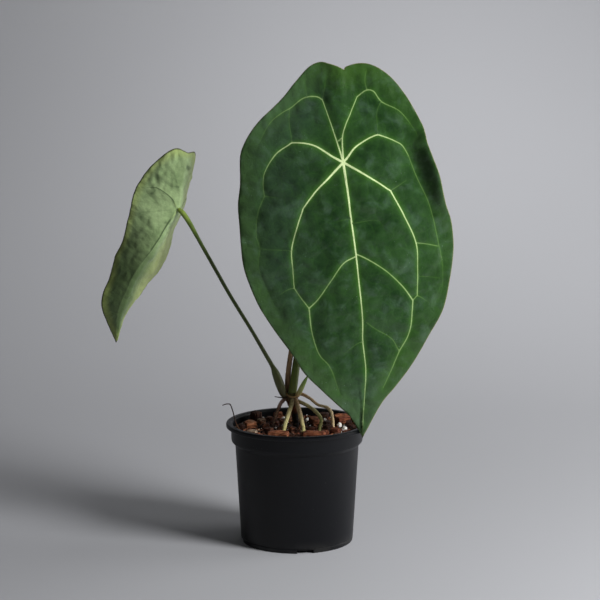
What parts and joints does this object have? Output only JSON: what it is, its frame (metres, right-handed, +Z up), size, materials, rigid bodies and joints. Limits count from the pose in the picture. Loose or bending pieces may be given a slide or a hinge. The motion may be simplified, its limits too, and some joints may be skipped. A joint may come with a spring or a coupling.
{
  "type": "potted anthurium forgetii",
  "caption": "Young aroid house plant with a heart-shaped veined leaf and a smaller side leaf, on stilt roots in a bark mix in a round nursery pot.",
  "frame": {"origin": "centre of the pot's foot, on the surface that the pot stands on", "axes": "+Z up along the pot's axis; -Y is the side that the large leaf faces; the smaller leaf is at -X"},
  "size_m": [0.2997, 0.1228, 0.4087],
  "materials": {
    "black_plastic": "satin moulded",
    "bark_mix": "rough, moist",
    "bark": "rough, broken",
    "perlite": "matte, porous",
    "upper_leaf": "satin, quilted, with pale veins",
    "side_leaf": "matte underside, satin top",
    "stem": "ringed, dry",
    "green_stalk": "satin",
    "olive_stalk": "satin",
    "dry_stalk": "papery",
    "new_shoot": "satin",
    "dark_root": "dry, wrinkled",
    "pale_root": "velvety",
    "green_root": "velvety",
    "tan_root": "dry, wrinkled",
    "dead_root": "wiry"
  },
  "bodies": {
    "root": {"pot": "black_plastic", "potting_mix": "bark_mix", "front_leaf": "upper_leaf", "side_leaf": "side_leaf", "stem": "stem", "front_leaf_stalk": "green_stalk", "side_leaf_stalk": "olive_stalk", "old_stalk": "dry_stalk", "new_shoot": "new_shoot", "root_left_dark": "dark_root", "root_front_left": "pale_root", "root_front": "pale_root", "root_right_green": "green_root", "root_right_tan": "tan_root", "root_small_curled": "tan_root", "root_wiry_left": "dead_root", "root_wiry_tip": "dead_root", "bark_chip_01": "bark", "bark_chip_02": "bark", "bark_chip_03": "bark", "bark_chip_04": "bark", "bark_chip_05": "bark", "bark_chip_06": "bark", "bark_chip_07": "bark", "bark_chip_08": "bark", "bark_chip_09": "bark", "bark_chip_10": "bark", "bark_chip_11": "bark", "bark_chip_12": "bark", "bark_chip_13": "bark", "bark_chip_14": "bark", "bark_chip_15": "bark", "bark_chip_16": "bark", "bark_chip_17": "bark", "bark_chip_18": "bark", "bark_chip_19": "bark", "bark_chip_20": "bark", "bark_chip_21": "bark", "bark_chip_22": "bark", "bark_chip_23": "bark", "bark_chip_24": "bark", "bark_chip_25": "bark", "bark_chip_26": "bark", "bark_chip_27": "bark", "bark_chip_28": "bark", "bark_chip_29": "bark", "bark_chip_30": "bark", "perlite_grain_1": "perlite", "perlite_grain_2": "perlite", "perlite_grain_3": "perlite", "perlite_grain_4": "perlite", "perlite_grain_5": "perlite", "perlite_grain_6": "perlite"}
  },
  "joints": []
}
